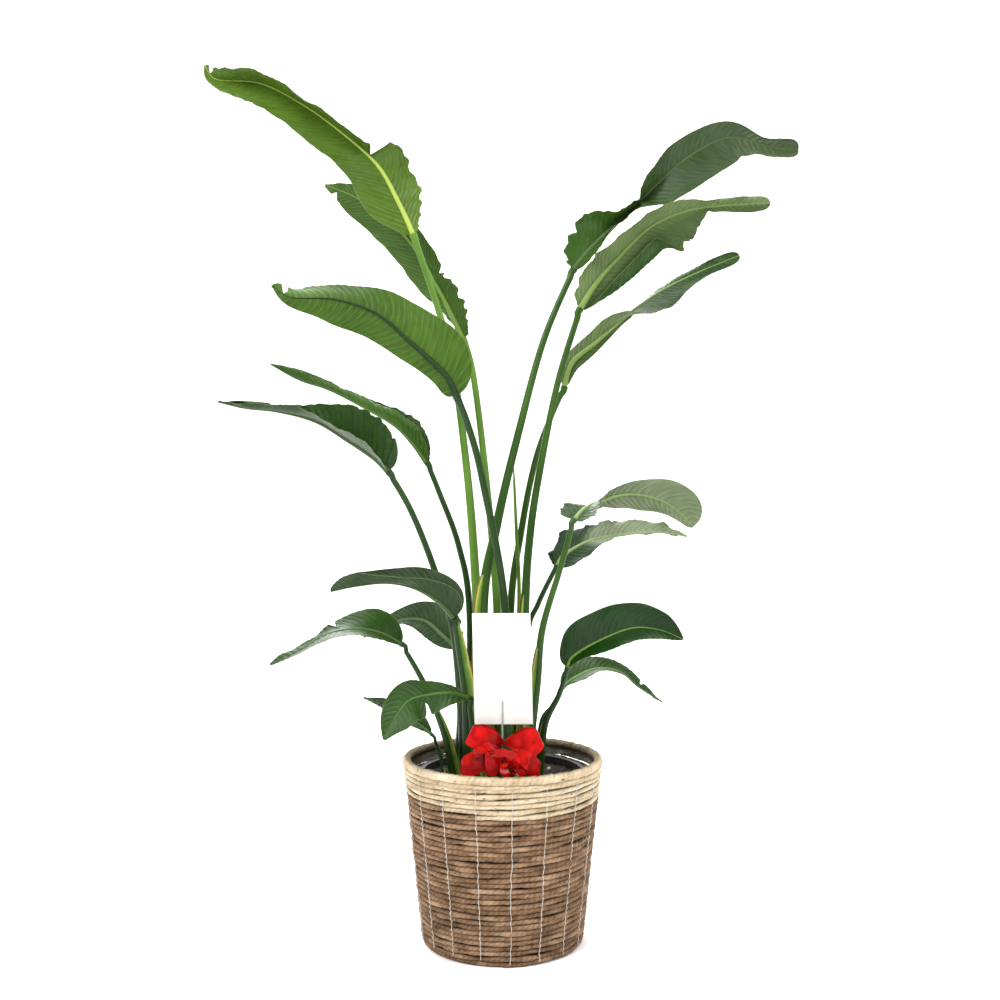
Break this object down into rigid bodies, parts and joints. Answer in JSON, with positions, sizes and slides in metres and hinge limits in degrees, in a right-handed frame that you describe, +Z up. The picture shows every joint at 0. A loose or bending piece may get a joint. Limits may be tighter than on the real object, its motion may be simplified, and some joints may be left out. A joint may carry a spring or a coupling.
{
  "type": "potted bird of paradise plant in a woven basket",
  "caption": "Tall clump of broad paddle-shaped leaves on long stems in a plastic pot, standing in a coiled rope basket with a gift card on a stick and a ribbon bow; decorates a room.",
  "frame": {"origin": "centre of the basket's underside, on the floor plane", "axes": "+Z up, -Y to the front (the side the card and bow face), +X to the right seen from the front"},
  "size_m": [1.0531, 0.4029, 1.5613],
  "materials": {
    "brown_rope": "matte",
    "cream_rope": "matte",
    "clear_film": "gloss",
    "black_plastic": "satin",
    "soil": "matte",
    "clear_plastic": "gloss",
    "white_card": "matte",
    "red_ribbon": "satin",
    "young_leaf": "satin",
    "petiole": "satin",
    "leaf": "satin"
  },
  "bodies": {
    "root": {"basket_brown_rope": "brown_rope", "basket_cream_rope": "cream_rope", "liner_film": "clear_film", "nursery_pot": "black_plastic", "soil": "soil", "card_stick": "clear_plastic", "gift_card": "white_card", "ribbon_bow": "red_ribbon", "spear_new_leaf": "young_leaf", "petiole_left_top": "petiole", "petiole_left_high": "petiole", "petiole_left_middle": "petiole", "petiole_left_folded": "petiole", "petiole_left_front": "petiole", "petiole_left_low": "petiole", "petiole_left_low_back": "petiole", "petiole_left_side": "petiole", "petiole_left_hanging": "petiole", "petiole_left_small": "petiole", "petiole_right_top": "petiole", "petiole_right_high": "petiole", "petiole_right_middle": "petiole", "petiole_right_pale": "petiole", "petiole_right_back": "petiole", "petiole_right_glossy": "petiole", "petiole_right_narrow": "petiole", "leaf_left_top": "leaf", "leaf_left_high": "leaf", "leaf_left_middle": "leaf", "leaf_left_folded": "leaf", "leaf_left_front": "leaf", "leaf_left_low": "leaf", "leaf_left_low_back": "leaf", "leaf_left_side": "leaf", "leaf_left_hanging": "leaf", "leaf_left_small": "leaf", "leaf_right_top": "leaf", "leaf_right_high": "leaf", "leaf_right_middle": "leaf", "leaf_right_pale": "leaf", "leaf_right_back": "leaf", "leaf_right_glossy": "leaf", "leaf_right_narrow": "leaf"}
  },
  "joints": []
}
